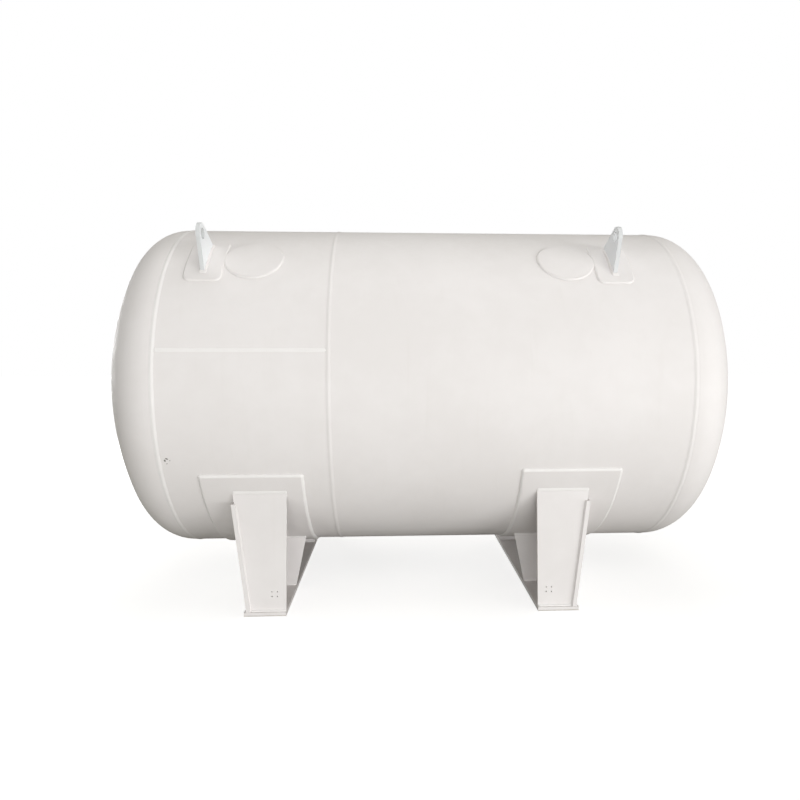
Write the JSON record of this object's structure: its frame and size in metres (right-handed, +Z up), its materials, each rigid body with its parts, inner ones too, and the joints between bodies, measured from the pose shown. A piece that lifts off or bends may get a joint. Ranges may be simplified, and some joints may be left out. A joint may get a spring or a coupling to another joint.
{
  "type": "liquid argon storage tank",
  "caption": "Horizontal insulated storage tank: a welded round jacket with dished ends, radial lifting lugs, round cover plates and plated saddles.",
  "frame": {"origin": "on the ground under the middle of the tank's box", "axes": "+X along the tank to its right-hand end, +Y from front to back, +Z up"},
  "size_m": [3.8064, 2.0048, 2.2325],
  "materials": {
    "jacket_paint": "ivory gloss enamel over rolled steel plate",
    "weld_paint": "ivory enamel over a rippled weld bead",
    "lug_paint": "white enamel over cut steel plate",
    "saddle_paint": "ivory enamel over cut steel plate"
  },
  "bodies": {
    "root": {"shell_course_left": "jacket_paint", "head_left": "jacket_paint", "shell_course_right": "jacket_paint", "head_right": "jacket_paint", "girth_weld_left": "weld_paint", "girth_weld_middle": "weld_paint", "girth_weld_right": "weld_paint", "seam_weld_left": "weld_paint", "seam_weld_right": "weld_paint", "lifting_lug_front_left": "lug_paint", "lug_pad_front_left": "jacket_paint", "cover_plate_front_left": "jacket_paint", "lifting_lug_rear_left": "lug_paint", "lug_pad_rear_left": "jacket_paint", "cover_plate_rear_left": "jacket_paint", "wrapper_plate_left": "jacket_paint", "saddle_web_left": "saddle_paint", "saddle_front_plate_left": "saddle_paint", "saddle_rear_plate_left": "saddle_paint", "saddle_front_rib_left": "saddle_paint", "saddle_rear_rib_left": "saddle_paint", "base_plate_left": "saddle_paint", "lifting_lug_front_right": "lug_paint", "lug_pad_front_right": "jacket_paint", "cover_plate_front_right": "jacket_paint", "lifting_lug_rear_right": "lug_paint", "lug_pad_rear_right": "jacket_paint", "cover_plate_rear_right": "jacket_paint", "wrapper_plate_right": "jacket_paint", "saddle_web_right": "saddle_paint", "saddle_front_plate_right": "saddle_paint", "saddle_rear_plate_right": "saddle_paint", "saddle_front_rib_right": "saddle_paint", "saddle_rear_rib_right": "saddle_paint", "base_plate_right": "saddle_paint"}
  },
  "joints": []
}
